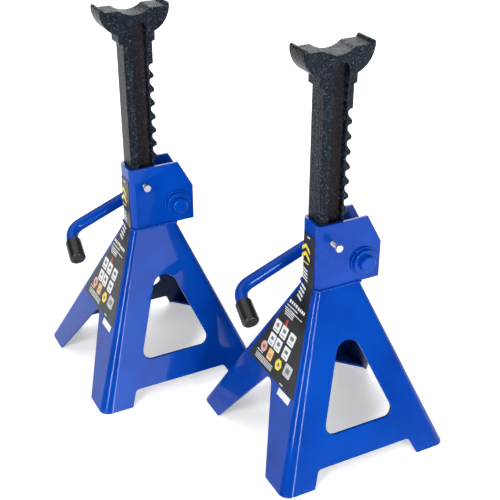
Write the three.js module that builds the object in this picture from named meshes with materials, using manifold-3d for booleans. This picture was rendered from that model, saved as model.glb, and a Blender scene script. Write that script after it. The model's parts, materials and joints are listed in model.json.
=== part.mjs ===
// A pair of ratchet axle stands for vehicles, in millimetres, +Z up.
// Each stand: a pyramid base pressed in two halves, a channel head welded on top,
// a cast ratchet column with a saddle, and a pawl turned by a bent handle.
// In a stand's own frame -X is the front (label side), -Y the bolt side, +Y the handle side.
import * as THREE from 'three';
import { mergeVertices } from 'three/addons/utils/BufferGeometryUtils.js';
import Module from 'manifold-3d';

const wasm = await Module();
wasm.setup();

// Where the two stands are, from the middle of the pair, and how far each stop bolt stands out.
const stands = [
  { name: 'left', x: -98.5, y: 179.6, boltHeadY: -36.5 },
  { name: 'right', x: 98.5, y: -179.6, boltHeadY: -45 },
];

const gap = 0.3;              // between pieces that touch
const cutPast = 5;            // how far a cutting solid reaches past what it cuts

// Base: a hollow pyramid with rounded edges, open below.
const baseHeight = 305;
const baseSheet = 5.5;        // measured level
const baseFoot = { front: -170, back: 170, side: 165, radius: 20 };
const baseNeck = { front: -36, back: 55, side: 27, radius: 10 };
const innerBendLess = 8.5;    // how much tighter a bend is on its inside
const windowFoot = 75.5;      // height of the side window's sill
const windowHalf = 74.5;
const windowFootX = 2.2;
const windowApex = { x: 7.6, z: 262 };
const windowArchRadius = 26;
const windowCornerRadius = 15;
const notchHalf = 96.4;       // the front and back notch, at the floor
const notchApex = 144;
const notchRadius = 14;
const footInner = 107;        // inner end of each foot on the side panels, at the floor
const footLean = 0.45;
const sillUnderside = 28.5;
const sillCornerRadius = 9;
const footPlateThick = 5;
const seamHalf = 4;
const seamThick = 2.4;
const seamLow = 138;
const seamHigh = 288;

// Head: a channel bent from thick sheet, open at the back.
const headTop = 430;
const headSheet = 6;
const headHalf = 27;
const headFront = -36;
const headBack = 92;
const headBendRadius = 10;
const headChamfer = { topX: 62.5, backZ: 376 };
const headBottom = baseHeight + gap;
const neckBead = { radius: 2.2, off: 2.6, lift: 0.7, backEnd: 4, labelEnd: 1.5 };
const guide = { thick: 5, height: 16, clear: 2.5, rise: 10 };

// Column and ratchet.
const pitch = 26.5;
const stepsDown = 9;
const stepsUp = 1;
const columnFront = -29.6;
const toothTip = 25;
const toothRoot = 17;
const columnHalf = 20;
const columnBottom = 252;
const firstToothZ = 628;      // underside of the uppermost tooth
const toothCount = 12;
const toothUnderDrop = 2.5;
const toothNoseStart = 10;
const toothNoseEnd = 20.5;
const webHalf = 7;
const grooveHalf = 13;
const grooveTop = 705;
const collarBottom = headTop + stepsDown * pitch + 0.5;
const collarTop = 686;
const collarFront = -37.6;
const collarBack = 31;
const saddleOverlap = 6;      // how far the column runs up inside the saddle
const grooveRadius = 4;

// Saddle.
const saddleX = -6;
const saddleHalfWidth = 23.5;
const saddleTop = 736;
const shoulderZ = 730;
const cradleBottom = 720;
const cradleRadius = 48;
const shoulderStart = 29.3;
const shoulderEnd = 56;
const lipStart = 59.5;
const lipEnd = 63;
const lobe = { x: 18, z: 731, radius: 47 };

// Stop bolt.
const bolt = { x: -7, z: 394.6, radius: 4, tipY: -8.5, headAcross: 13, headThick: 5.5, hole: 4.4 };
const grooveBottom = bolt.z - bolt.radius - stepsUp * pitch - 0.5;

// Pawl, shaft and handle, turning about a line along Y.
const pivot = { x: 57.4, z: 345.4 };
const releasedTurn = 12;      // degrees from locked to the pose shown, nose clear of the teeth
const shaftRadius = 14.5;
const shaftNearY = -46;
const shaftFarY = 46;
const plateHoleRadius = 15.1;
const pawlHoleRadius = 14.9;
const pawlHalf = 19;
const pawlHubRadius = 22;
const pawlReach = 54.2;
// The arm of the pawl when locked, as [degrees about the pivot, distance from it].
const pawlProfile = [
  [60, pawlHubRadius], [100, 44.4], [125.8, pawlReach], [130.5, pawlReach], [135, pawlReach],
  [136.5, pawlReach - 2.5], [139.5, pawlReach - 15], [170, pawlHubRadius], [200, pawlHubRadius - 2.2],
];
const washer = { radius: 27, thick: 3 };
const collar = { radius: 23.5, thick: 6 };
const rodRadius = 12;
const rodBends = [36, 26];    // reach of each bend along the straight parts
const rodWeldRise = 4;
const armY = 92;
const armBend = { x: -127, z: 272.8 };
const legEnd = { x: -134.5, y: 28, z: 243.8 };
const grip = { radius: 15.8, length: 46, wall: 3.4, tip: 4.5, rim: 5 };

// Label and strip on the front face.
const labelSkin = 0.35;       // measured level, from the face to the back of the sheet
const label = { bottom: 138, bottomHalf: 83, neck: 296, neckHalf: 17.5, top: 405, thick: 0.7 };
const strip = { y: -57, z: 130, halfWide: 20, halfTall: 5.5, thick: 0.5 };

const paint = { color: 0x1450c4, roughness: 0.3, metalness: 0.1 };
const casting = { color: 0x1c2126, roughness: 0.6, metalness: 0.4 };
const zinc = { color: 0xc9ccd0, roughness: 0.3, metalness: 0.9 };
const rubber = { color: 0x17191b, roughness: 0.7, metalness: 0 };
const print = { color: 0x101214, roughness: 0.5, metalness: 0 };
const paper = { color: 0xe6e8ea, roughness: 0.5, metalness: 0 };

const axisX = new THREE.Vector3(1, 0, 0);
const axisY = new THREE.Vector3(0, 1, 0);
const axisZ = new THREE.Vector3(0, 0, 1);
const degrees = Math.PI / 180;

// ---- Outlines ----

// Points of a closed outline whose corners are [x, y, radius]; a radius of 0 stays sharp.
function rounded(corners, steps = 6) {
  const points = [];
  corners.forEach(([x, y, radius = 0], i) => {
    const here = new THREE.Vector2(x, y);
    if (radius === 0) {
      points.push(here);
      return;
    }
    const [beforeX, beforeY] = corners.at(i - 1);
    const [afterX, afterY] = corners[(i + 1) % corners.length];
    const before = new THREE.Vector2(beforeX, beforeY).sub(here).normalize();
    const after = new THREE.Vector2(afterX, afterY).sub(here).normalize();
    const half = Math.acos(before.dot(after)) / 2;
    const middle = before.clone().add(after).normalize();
    const centre = here.clone().addScaledVector(middle, radius / Math.sin(half));
    const start = here.clone().addScaledVector(before, radius / Math.tan(half)).sub(centre);
    const turn = Math.sign(after.cross(before)) * (Math.PI - 2 * half);
    const origin = new THREE.Vector2();
    for (let step = 0; step <= steps; step += 1) {
      points.push(start.clone().rotateAround(origin, turn * step / steps).add(centre));
    }
  });
  return points;
}

// Points on an arc, ends included; angles in degrees.
function arc(x, y, radius, from, to, steps) {
  return Array.from({ length: steps + 1 }, (_, step) => {
    const angle = (from + (to - from) * step / steps) * degrees;
    return new THREE.Vector2(x + radius * Math.cos(angle), y + radius * Math.sin(angle));
  });
}

function circle(x, y, radius, steps = 32) {
  return arc(x, y, radius, 0, 360, steps).slice(0, steps);
}

// ---- Solids ----

function solidOf(geometry) {
  const bare = geometry.clone();
  bare.deleteAttribute('normal');
  bare.deleteAttribute('uv');
  const merged = mergeVertices(bare, 1e-4);
  return new wasm.Manifold(new wasm.Mesh({
    numProp: 3,
    vertProperties: new Float32Array(merged.attributes.position.array),
    triVerts: new Uint32Array(merged.index.array),
  }));
}

function geometryOf(solid) {
  const mesh = solid.getMesh();
  const geometry = new THREE.BufferGeometry();
  geometry.setAttribute('position', new THREE.BufferAttribute(mesh.vertProperties, 3));
  geometry.setIndex(new THREE.BufferAttribute(mesh.triVerts, 1));
  geometry.computeVertexNormals();
  return geometry;
}

// An outline pushed along one axis. Along Y the outline is (x, z), along X it is (y, z).
function prism(outline, axis, from, to) {
  const depth = to - from;
  const geometry = new THREE.ExtrudeGeometry(new THREE.Shape(outline), { depth, bevelEnabled: false });
  const turned = new THREE.Matrix4();
  if (axis === axisX) {
    turned.makeBasis(axisY, axisZ, axisX).setPosition(from, 0, 0);
  } else if (axis === axisY) {
    turned.makeBasis(axisX, axisZ, axisY.clone().negate()).setPosition(0, to, 0);
  } else {
    turned.setPosition(0, 0, from);
  }
  return geometry.applyMatrix4(turned);
}

// A straight-sided solid between a low outline and a high one with as many points.
function loft(low, high, fromZ, toZ) {
  const geometry = new THREE.ExtrudeGeometry(new THREE.Shape(low), { depth: 1, bevelEnabled: false });
  const position = geometry.attributes.position;
  const corner = new THREE.Vector2();
  for (let i = 0; i < position.count; i += 1) {
    const isHigh = position.getZ(i) > 0.5;
    corner.set(position.getX(i), position.getY(i));
    const at = low.findIndex((point) => point.distanceTo(corner) < 1e-3);
    const point = isHigh ? high[at] : low[at];
    position.setXYZ(i, point.x, point.y, isHigh ? toZ : fromZ);
  }
  return geometry;
}

// A ring or disc about a line along Y.
function ring(x, z, outer, inner, fromY, toY) {
  const outside = solidOf(prism(circle(x, z, outer), axisY, fromY, toY));
  const inside = solidOf(prism(circle(x, z, inner), axisY, fromY - 1, toY + 1));
  return geometryOf(outside.subtract(inside));
}

// A round bar along a route of points, with a bend of the given reach at each inner point.
function bar(route, reach, radius, steps, sides = 12) {
  const path = new THREE.CurvePath();
  let start = route[0];
  for (let i = 1; i < route.length - 1; i += 1) {
    const inward = route[i].clone().sub(start).setLength(reach[i - 1]);
    const onward = route[i + 1].clone().sub(route[i]).setLength(reach[i - 1]);
    const bendStart = route[i].clone().sub(inward);
    const bendEnd = route[i].clone().add(onward);
    path.add(new THREE.LineCurve3(start, bendStart));
    path.add(new THREE.QuadraticBezierCurve3(bendStart, route[i], bendEnd));
    start = bendEnd;
  }
  path.add(new THREE.LineCurve3(start, route.at(-1)));
  const section = new THREE.Shape(circle(0, 0, radius, sides));
  return new THREE.ExtrudeGeometry(section, { steps, extrudePath: path });
}

// ---- Base ----

function baseOutline(z, inset) {
  const t = z / baseHeight;
  const front = THREE.MathUtils.lerp(baseFoot.front, baseNeck.front, t) + inset;
  const back = THREE.MathUtils.lerp(baseFoot.back, baseNeck.back, t) - inset;
  const side = THREE.MathUtils.lerp(baseFoot.side, baseNeck.side, t) - inset;
  const radius = THREE.MathUtils.lerp(baseFoot.radius, baseNeck.radius, t) - (inset > 0 ? innerBendLess : 0);
  return rounded([
    [front, -side, radius], [back, -side, radius], [back, side, radius], [front, side, radius],
  ], 5);
}

function baseSolid(inset, fromZ, toZ) {
  return solidOf(loft(baseOutline(fromZ, inset), baseOutline(toZ, inset), fromZ, toZ));
}

function windowOutline() {
  return rounded([
    [windowFootX - windowHalf, windowFoot, windowCornerRadius],
    [windowFootX + windowHalf, windowFoot, windowCornerRadius],
    [windowApex.x, windowApex.z, windowArchRadius],
  ], 8);
}

function notchOutline() {
  const wider = notchHalf * (1 + cutPast / notchApex);
  return rounded([[-wider, -cutPast], [wider, -cutPast], [0, notchApex, notchRadius]], 8);
}

function underSillOutline() {
  const low = footInner + footLean * cutPast;
  const high = footInner - footLean * sillUnderside;
  const corners = [[-low, -cutPast], [low, -cutPast]];
  corners.push([high, sillUnderside, sillCornerRadius], [-high, sillUnderside, sillCornerRadius]);
  return rounded(corners);
}

// side is -1 for the near half and 1 for the far half.
function baseHalf(side) {
  const span = (from, to) => (side < 0 ? [-to, -from] : [from, to]);
  const shell = baseSolid(0, 0, baseHeight).subtract(baseSolid(baseSheet, -10, baseHeight + 10));
  const wide = baseFoot.back + 30;
  const above = baseHeight + cutPast;
  const keep = [[-wide, -cutPast], [wide, -cutPast], [wide, above], [-wide, above]];
  const half = shell.intersect(solidOf(prism(rounded(keep), axisY, ...span(gap / 2, wide))));
  const window = solidOf(prism(windowOutline(), axisY, ...span(1, wide)));
  const underSill = solidOf(prism(underSillOutline(), axisY, ...span(1, wide)));
  const notch = solidOf(prism(notchOutline(), axisX, -wide, wide));
  return geometryOf(half.subtract(window).subtract(underSill).subtract(notch));
}

function footPlate(sideX, sideY) {
  const far = baseFoot.back + 30;
  const corner = [
    [sideX * footInner, sideY * baseFoot.side],
    [sideX * baseFoot.back, sideY * notchHalf],
    [sideX * far, sideY * notchHalf],
    [sideX * far, sideY * far],
    [sideX * footInner, sideY * far],
  ];
  const plate = solidOf(prism(rounded(corner), axisZ, 0, footPlateThick));
  return geometryOf(plate.intersect(baseSolid(baseSheet + gap, -10, baseHeight)));
}

// The weld along the inside of the front or back panel, from above the notch to the neck.
function seamWeld(sideX) {
  const inner = (z) => {
    const face = sideX < 0 ? ['front', baseSheet + gap] : ['back', -baseSheet - gap];
    return THREE.MathUtils.lerp(baseFoot[face[0]], baseNeck[face[0]], z / baseHeight) + face[1];
  };
  const band = [
    [inner(seamLow), seamLow], [inner(seamHigh), seamHigh],
    [inner(seamHigh) - sideX * seamThick, seamHigh], [inner(seamLow) - sideX * seamThick, seamLow],
  ];
  return prism(rounded(band), axisY, -seamHalf, seamHalf);
}

// ---- Head ----

function headChannel() {
  const inside = headHalf - headSheet;
  const front = headFront + headSheet;
  const section = rounded([
    [headBack, -headHalf], [headBack, -inside], [front, -inside, headBendRadius - innerBendLess],
    [front, inside, headBendRadius - innerBendLess], [headBack, inside], [headBack, headHalf],
    [headFront, headHalf, headBendRadius], [headFront, -headHalf, headBendRadius],
  ]);
  const side = rounded([
    [headFront - cutPast, headBottom], [headBack, headBottom], [headBack, headChamfer.backZ],
    [headChamfer.topX, headTop], [headFront - cutPast, headTop],
  ]);
  const past = headHalf + cutPast;
  const blank = solidOf(prism(section, axisZ, headBottom, headTop));
  const shaped = blank.intersect(solidOf(prism(side, axisY, -past, past)));
  const shaftHole = prism(circle(pivot.x, pivot.z, plateHoleRadius), axisY, -past, past);
  const boltHole = prism(circle(bolt.x, bolt.z, bolt.hole, 16), axisY, -past, 0);
  return geometryOf(shaped.subtract(solidOf(shaftHole)).subtract(solidOf(boltHole)));
}

// The bead where the head meets the base, from the back of one side to the label's edge.
function neckWeld(side) {
  const { radius, off, lift, backEnd, labelEnd } = neckBead;
  const z = headBottom + lift;
  const route = [
    new THREE.Vector3(baseNeck.back - backEnd, side * (headHalf + off), z),
    new THREE.Vector3(headFront - off, side * (headHalf + off), z),
    new THREE.Vector3(headFront - off, side * (label.neckHalf + labelEnd), z),
  ];
  return bar(route, [headBendRadius - 1], radius, 30, 8);
}

function guideBar() {
  const width = 2 * (headHalf - headSheet - gap);
  const geometry = new THREE.BoxGeometry(guide.thick, width, guide.height);
  return geometry.translate(toothTip + guide.clear + guide.thick / 2, 0, headBottom + guide.rise);
}

// ---- Column ----

function toothOutline() {
  const points = [];
  for (let i = 0; i < toothCount; i += 1) {
    const under = firstToothZ - i * pitch;
    points.push([toothTip, under], [toothRoot, under - toothUnderDrop]);
    points.push([toothRoot, under - toothNoseStart], [toothTip, under - toothNoseEnd]);
  }
  return points;
}

function saddleOutline() {
  const lobeStart = Math.asin((collarTop - lobe.z) / lobe.radius) / degrees;
  const half = [
    ...arc(lobe.x, lobe.z, lobe.radius, lobeStart, 0, 12),
    new THREE.Vector2(lipEnd + 2, saddleTop - 2.5),
    new THREE.Vector2(lipEnd, saddleTop),
    new THREE.Vector2(lipStart, saddleTop),
    new THREE.Vector2(shoulderEnd, shoulderZ),
  ];
  const reach = Math.asin(shoulderStart / cradleRadius) / degrees;
  const cradle = arc(0, cradleBottom + cradleRadius, cradleRadius, -90 + reach, -90 - reach, 10);
  const mirrored = half.map((point) => new THREE.Vector2(-point.x, point.y)).reverse();
  return [...half, ...cradle, ...mirrored].map((point) => new THREE.Vector2(point.x + saddleX, point.y));
}

function column() {
  const side = rounded([
    [columnFront, columnBottom], [toothTip, columnBottom],
    ...toothOutline().reverse(),
    [toothTip, collarBottom], [collarBack, collarBottom],
    [collarBack, collarTop + saddleOverlap], [collarFront, collarTop + saddleOverlap],
    [collarFront, collarBottom], [columnFront, collarBottom],
  ]);
  const stem = solidOf(prism(side, axisY, -columnHalf, columnHalf));
  const saddle = solidOf(prism(saddleOutline(), axisY, -saddleHalfWidth, saddleHalfWidth));
  const groove = rounded([
    [-grooveHalf, grooveBottom, grooveRadius], [grooveHalf, grooveBottom, grooveRadius],
    [grooveHalf, grooveTop, 2 * grooveRadius], [-grooveHalf, grooveTop, 2 * grooveRadius],
  ], 4);
  const far = saddleHalfWidth + cutPast;
  const near = solidOf(prism(groove, axisY, -far, -webHalf));
  const back = solidOf(prism(groove, axisY, webHalf, far));
  return geometryOf(stem.add(saddle).subtract(near).subtract(back));
}

function stopBolt(headY) {
  const shank = solidOf(prism(circle(bolt.x, bolt.z, bolt.radius, 16), axisY, headY - 1, bolt.tipY));
  const corner = bolt.headAcross / 2 / Math.cos(Math.PI / 6);
  const head = solidOf(prism(circle(bolt.x, bolt.z, corner, 6), axisY, headY - bolt.headThick, headY));
  return geometryOf(shank.add(head));
}

// ---- Pawl, shaft and handle ----

// Drawn locked, its nose under the tooth that is level with it, then turned to released.
function pawl() {
  const onCircle = (angle, radius) => [
    pivot.x + radius * Math.cos(angle * degrees), pivot.z + radius * Math.sin(angle * degrees),
  ];
  const nose = [...pawlProfile.map(([angle, radius]) => onCircle(angle, radius)), [pivot.x, pivot.z]];
  const blank = solidOf(prism(circle(pivot.x, pivot.z, pawlHubRadius), axisY, -pawlHalf, pawlHalf));
  const arm = solidOf(prism(rounded(nose), axisY, -pawlHalf, pawlHalf));
  const hole = solidOf(prism(circle(pivot.x, pivot.z, pawlHoleRadius), axisY, -pawlHalf - 1, pawlHalf + 1));
  const geometry = geometryOf(blank.add(arm).subtract(hole));
  geometry.translate(-pivot.x, 0, -pivot.z);
  geometry.rotateY(releasedTurn * degrees);
  return geometry.translate(pivot.x, 0, pivot.z);
}

function pivotShaft() {
  return prism(circle(pivot.x, pivot.z, shaftRadius), axisY, shaftNearY, shaftFarY);
}

// The route of the handle: out of the shaft, along the arm, and down the leg that carries the grip.
function handleRoute() {
  return [
    new THREE.Vector3(pivot.x, shaftFarY + gap, pivot.z),
    new THREE.Vector3(pivot.x, armY, pivot.z),
    new THREE.Vector3(armBend.x, armY, armBend.z),
    new THREE.Vector3(legEnd.x, legEnd.y, legEnd.z),
  ];
}

function handleRod() {
  return bar(handleRoute(), rodBends, rodRadius, 44);
}

function handleWeld() {
  const outer = shaftRadius - 0.2;
  const inner = rodRadius + gap;
  const profile = [[inner, 0], [outer, 0], [inner + 1, rodWeldRise], [inner, rodWeldRise], [inner, 0]];
  const geometry = new THREE.LatheGeometry(profile.map(([x, y]) => new THREE.Vector2(x, y)), 20);
  return geometry.translate(pivot.x, shaftFarY + gap, pivot.z);
}

// A closed sleeve over the last part of the leg.
function handleGrip() {
  const bore = grip.radius - grip.wall;
  const { rim } = grip;
  const tip = arc(grip.radius - rim, grip.tip + gap - rim, rim, 0, 90, 5).reverse();
  const profile = [
    new THREE.Vector2(0, grip.tip + gap), ...tip,
    new THREE.Vector2(grip.radius, grip.tip - grip.length), new THREE.Vector2(bore, grip.tip - grip.length),
    new THREE.Vector2(bore, gap), new THREE.Vector2(0, gap),
  ];
  const geometry = new THREE.LatheGeometry(profile.reverse(), 20);
  const [, , bend, end] = handleRoute();
  const turn = new THREE.Quaternion().setFromUnitVectors(axisY, end.clone().sub(bend).normalize());
  return geometry.applyQuaternion(turn).translate(end.x, end.y, end.z);
}

// ---- Label ----

function frontFace(z) {
  return z > baseHeight ? headFront : THREE.MathUtils.lerp(baseFoot.front, baseNeck.front, z / baseHeight);
}

// A thin sheet that lies on the front face, cut to an outline given as [y, z].
function frontSheet(corners, thick, heights) {
  const back = heights.map((z) => [frontFace(z) - labelSkin, z]);
  const front = heights.map((z) => [frontFace(z) - labelSkin - thick, z]).reverse();
  const wide = baseFoot.side;
  const band = solidOf(prism(rounded([...back, ...front]), axisY, -wide, wide));
  return geometryOf(band.intersect(solidOf(prism(rounded(corners, 3), axisX, -wide - 40, 0))));
}

function frontLabel() {
  const corners = [
    [-label.bottomHalf, label.bottom], [label.bottomHalf, label.bottom], [label.neckHalf, label.neck],
    [label.neckHalf, label.top, 2], [-label.neckHalf, label.top, 2], [-label.neckHalf, label.neck],
  ];
  return frontSheet(corners, label.thick, [label.bottom - 5, baseHeight, label.top + 5]);
}

function idStrip() {
  const { y, z, halfWide, halfTall, thick } = strip;
  const [right, left, low, high] = [y - halfWide, y + halfWide, z - halfTall, z + halfTall];
  const corners = [[right, low], [left, low], [left, high], [right, high]];
  return frontSheet(corners, thick, [low - cutPast, high + cutPast]);
}

// ---- The pair ----

const pair = new THREE.Group();

for (const stand of stands) {
  const group = new THREE.Group();
  group.position.set(stand.x, stand.y, 0);
  pair.add(group);

  const add = (name, geometry, look) => {
    const mesh = new THREE.Mesh(geometry, new THREE.MeshStandardMaterial(look));
    mesh.name = `${stand.name}_${name}`;
    group.add(mesh);
  };

  add('base_half_near', baseHalf(-1), paint);
  add('base_half_far', baseHalf(1), paint);
  add('front_seam_weld', seamWeld(-1), paint);
  add('back_seam_weld', seamWeld(1), paint);
  add('foot_plate_front_near', footPlate(-1, -1), paint);
  add('foot_plate_front_far', footPlate(-1, 1), paint);
  add('foot_plate_back_near', footPlate(1, -1), paint);
  add('foot_plate_back_far', footPlate(1, 1), paint);
  add('head_channel', headChannel(), paint);
  add('neck_weld_near', neckWeld(-1), paint);
  add('neck_weld_far', neckWeld(1), paint);
  add('rear_guide_bar', guideBar(), paint);
  add('pivot_washer_near', ring(pivot.x, pivot.z, washer.radius, plateHoleRadius,
    -headHalf - gap - washer.thick, -headHalf - gap), paint);
  add('pivot_washer_far', ring(pivot.x, pivot.z, washer.radius, plateHoleRadius,
    headHalf + gap, headHalf + gap + washer.thick), paint);
  add('ratchet_column', column(), casting);
  add('stop_bolt', stopBolt(stand.boltHeadY), zinc);
  add('pawl', pawl(), casting);
  add('pivot_shaft', pivotShaft(), paint);
  const collarFace = -headHalf - 2 * gap - washer.thick;
  add('shaft_collar', ring(pivot.x, pivot.z, collar.radius, pawlHoleRadius,
    collarFace - collar.thick, collarFace), paint);
  add('handle_rod', handleRod(), paint);
  add('handle_weld', handleWeld(), paint);
  add('handle_grip', handleGrip(), rubber);
  add('front_label', frontLabel(), print);
  add('id_strip', idStrip(), paper);
}

export default pair;
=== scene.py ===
import json
import math
import random

import bmesh
import bpy
from mathutils import Matrix, Vector

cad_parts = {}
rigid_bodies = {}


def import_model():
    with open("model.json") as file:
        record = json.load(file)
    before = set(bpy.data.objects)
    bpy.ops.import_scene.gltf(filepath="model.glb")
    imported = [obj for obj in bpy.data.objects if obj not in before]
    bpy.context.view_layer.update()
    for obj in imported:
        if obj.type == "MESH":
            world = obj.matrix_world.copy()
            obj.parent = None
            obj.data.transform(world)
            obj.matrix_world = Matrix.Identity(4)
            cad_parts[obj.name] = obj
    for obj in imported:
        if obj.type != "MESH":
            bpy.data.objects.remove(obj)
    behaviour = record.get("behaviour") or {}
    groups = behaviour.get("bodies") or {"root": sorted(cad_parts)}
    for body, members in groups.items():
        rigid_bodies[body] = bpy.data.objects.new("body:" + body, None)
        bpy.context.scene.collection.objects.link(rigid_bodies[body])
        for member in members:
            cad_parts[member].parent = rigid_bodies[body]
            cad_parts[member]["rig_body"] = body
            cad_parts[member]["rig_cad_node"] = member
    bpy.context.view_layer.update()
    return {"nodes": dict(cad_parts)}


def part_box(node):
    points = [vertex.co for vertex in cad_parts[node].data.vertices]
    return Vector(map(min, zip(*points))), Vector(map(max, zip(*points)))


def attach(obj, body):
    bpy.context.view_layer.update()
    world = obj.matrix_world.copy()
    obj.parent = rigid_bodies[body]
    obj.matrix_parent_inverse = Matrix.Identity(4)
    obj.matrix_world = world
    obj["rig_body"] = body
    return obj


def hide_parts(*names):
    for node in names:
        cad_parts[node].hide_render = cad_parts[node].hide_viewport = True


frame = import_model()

# A pair of ratchet axle stands. Every piece is modelled once, in a stand's own frame, and then copied
# to the place of each stand. In that frame -X is the label side, -Y the bolt side, +Y the handle side.
# Sizes in the dictionaries are in millimetres.

mm = 0.001
mergeGap = 1e-6  # points closer than this are one point
past = 10  # how far a hollow's cutter reaches past the ends
beyond = 200  # how far other cutting shapes reach
random.seed(11)


def standPlace(stand):
    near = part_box(stand + "_base_half_near")
    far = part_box(stand + "_base_half_far")
    return Vector(((near[0].x + near[1].x) / 2, (near[1].y + far[0].y) / 2, 0))


stands = {name: standPlace(name) for name in ("left", "right")}
print("stands at", {name: tuple(round(v, 4) for v in place) for name, place in stands.items()})

# helpers for modelling


def deselectAll():
    if bpy.context.object and bpy.context.object.mode != "OBJECT":
        bpy.ops.object.mode_set(mode="OBJECT")
    bpy.ops.object.select_all(action="DESELECT")


def onlySelect(piece):
    deselectAll()
    piece.select_set(True)
    bpy.context.view_layer.objects.active = piece


def editAll(piece):
    onlySelect(piece)
    bpy.ops.object.mode_set(mode="EDIT")
    bpy.ops.mesh.select_all(action="SELECT")


def applyModifier(piece, kind, **settings):
    onlySelect(piece)
    bpy.ops.object.modifier_add(type=kind)
    modifier = piece.modifiers[-1]
    for name, value in settings.items():
        setattr(modifier, name, value)
    bpy.ops.object.modifier_apply(modifier=modifier.name)


def moveCorners(piece, moves):  # moves: {vertex number: vector}
    for number, step in moves.items():
        bpy.ops.mesh.select_all(action="DESELECT")
        mesh = bmesh.from_edit_mesh(piece.data)
        mesh.verts.ensure_lookup_table()
        mesh.verts[number].select = True
        bpy.ops.transform.translate(value=step)


def outlineOf(name, points, filled=True):  # leaves the piece in edit mode
    deselectAll()
    fill = "NGON" if filled else "NOTHING"
    bpy.ops.mesh.primitive_circle_add(vertices=len(points), radius=0.1, fill_type=fill)
    piece = bpy.context.object
    piece.name = name
    starts = [vert.co.copy() for vert in piece.data.vertices]
    bpy.ops.object.mode_set(mode="EDIT")
    moveCorners(piece, {i: Vector(point) * mm - starts[i] for i, point in enumerate(points)})
    return piece


def extruded(piece, along):
    bpy.ops.mesh.select_all(action="SELECT")
    bpy.ops.mesh.extrude_region_move(TRANSFORM_OT_translate={"value": Vector(along) * mm})
    bpy.ops.mesh.select_all(action="SELECT")
    bpy.ops.mesh.normals_make_consistent(inside=False)
    bpy.ops.object.mode_set(mode="OBJECT")
    return piece


def onAxis(axis, point, along):
    a, b = point
    return {"x": (along, a, b), "y": (a, along, b), "z": (a, b, along)}[axis]


def slab(name, outline, axis, start, end):
    piece = outlineOf(name, [onAxis(axis, point, start) for point in outline])
    return extruded(piece, onAxis(axis, (0, 0), end - start))


def lofted(name, low, high, fromZ, toZ):
    piece = outlineOf(name, [(x, y, fromZ) for x, y in low])
    extruded(piece, (0, 0, toZ - fromZ))
    onlySelect(piece)
    moves = {}
    for vert in piece.data.vertices:
        if vert.co.z > (fromZ + toZ) / 2 * mm:
            here = vert.co.xy / mm
            match = min(range(len(low)), key=lambda i: (Vector(low[i]) - here).length)
            moves[vert.index] = ((Vector(high[match]) - here) * mm).to_3d()
    bpy.ops.object.mode_set(mode="EDIT")
    moveCorners(piece, moves)
    bpy.ops.object.mode_set(mode="OBJECT")
    return piece


def rounded(corners, steps=8):  # corners: (x, y) stays sharp, (x, y, radius) is rounded
    points = []
    for i, corner in enumerate(corners):
        here = Vector(corner[:2])
        radius = corner[2] if len(corner) > 2 else 0
        if radius == 0:
            points.append(here)
            continue
        before = (Vector(corners[i - 1][:2]) - here).normalized()
        after = (Vector(corners[(i + 1) % len(corners)][:2]) - here).normalized()
        half = math.acos(before.dot(after)) / 2
        centre = here + (before + after).normalized() * radius / math.sin(half)
        start = here + before * radius / math.tan(half) - centre
        turn = math.copysign(math.pi - 2 * half, after.x * before.y - after.y * before.x)
        for step in range(steps + 1):
            angle = turn * step / steps
            spun = Vector((
                start.x * math.cos(angle) - start.y * math.sin(angle),
                start.x * math.sin(angle) + start.y * math.cos(angle),
            ))
            points.append(centre + spun)
    return points


def arc(x, y, radius, start, end, steps):
    angles = [math.radians(start + (end - start) * step / steps) for step in range(steps + 1)]
    return [Vector((x + radius * math.cos(a), y + radius * math.sin(a))) for a in angles]


def ring(x, y, radius, count):  # a closed outline: six points are a hexagon
    return arc(x, y, radius, 0, 360 - 360 / count, count - 1)


def combine(piece, other, operation="DIFFERENCE"):
    applyModifier(piece, "BOOLEAN", object=other, operation=operation, solver="EXACT")
    bpy.data.objects.remove(other)
    return piece


def smoothShaded(piece, angle=35):
    onlySelect(piece)
    bpy.ops.object.shade_smooth_by_angle(angle=math.radians(angle))
    applyModifier(piece, "WEIGHTED_NORMAL", keep_sharp=True)
    return piece


def softEdges(piece, width, angle=40):
    flatAngle = 0.4
    editAll(piece)
    bpy.ops.mesh.remove_doubles(threshold=mergeGap)
    bpy.ops.mesh.dissolve_limited(angle_limit=math.radians(flatAngle))
    bpy.ops.object.mode_set(mode="OBJECT")
    applyModifier(
        piece, "BEVEL", width=width * mm, segments=2, limit_method="ANGLE",
        angle_limit=math.radians(angle), use_clamp_overlap=False,
    )
    return smoothShaded(piece)


# a profile of (radius, place along Y) turned about Y; solid if both its ends are on the axis
def turned(name, profile, centre, steps=48):
    x, z = centre
    piece = outlineOf(name, [(x + radius, along, z) for radius, along in profile], filled=False)
    if profile[0][0] == 0 and profile[-1][0] == 0:
        bpy.ops.mesh.select_all(action="DESELECT")
        mesh = bmesh.from_edit_mesh(piece.data)
        for edge in mesh.edges:
            if all(abs(vert.co.x - x * mm) < mergeGap / 10 for vert in edge.verts):
                edge.select = True
        bmesh.update_edit_mesh(piece.data)
        bpy.ops.mesh.delete(type="EDGE_FACE")
    bpy.ops.mesh.select_all(action="SELECT")
    bpy.ops.mesh.spin(steps=steps, angle=math.tau, center=(x * mm, 0, z * mm), axis=(0, 1, 0))
    bpy.ops.mesh.select_all(action="SELECT")
    bpy.ops.mesh.remove_doubles(threshold=mergeGap)
    bpy.ops.mesh.normals_make_consistent(inside=False)
    bpy.ops.object.mode_set(mode="OBJECT")
    return piece


def bentRoute(corners, reach, steps=12):
    points = [Vector(corners[0])]
    for i in range(1, len(corners) - 1):
        corner = Vector(corners[i])
        start = corner + (Vector(corners[i - 1]) - corner).normalized() * reach[i - 1]
        end = corner + (Vector(corners[i + 1]) - corner).normalized() * reach[i - 1]
        for step in range(steps + 1):
            t = step / steps
            points.append(start * (1 - t) ** 2 + corner * 2 * t * (1 - t) + end * t ** 2)
    return points + [Vector(corners[-1])]


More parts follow.
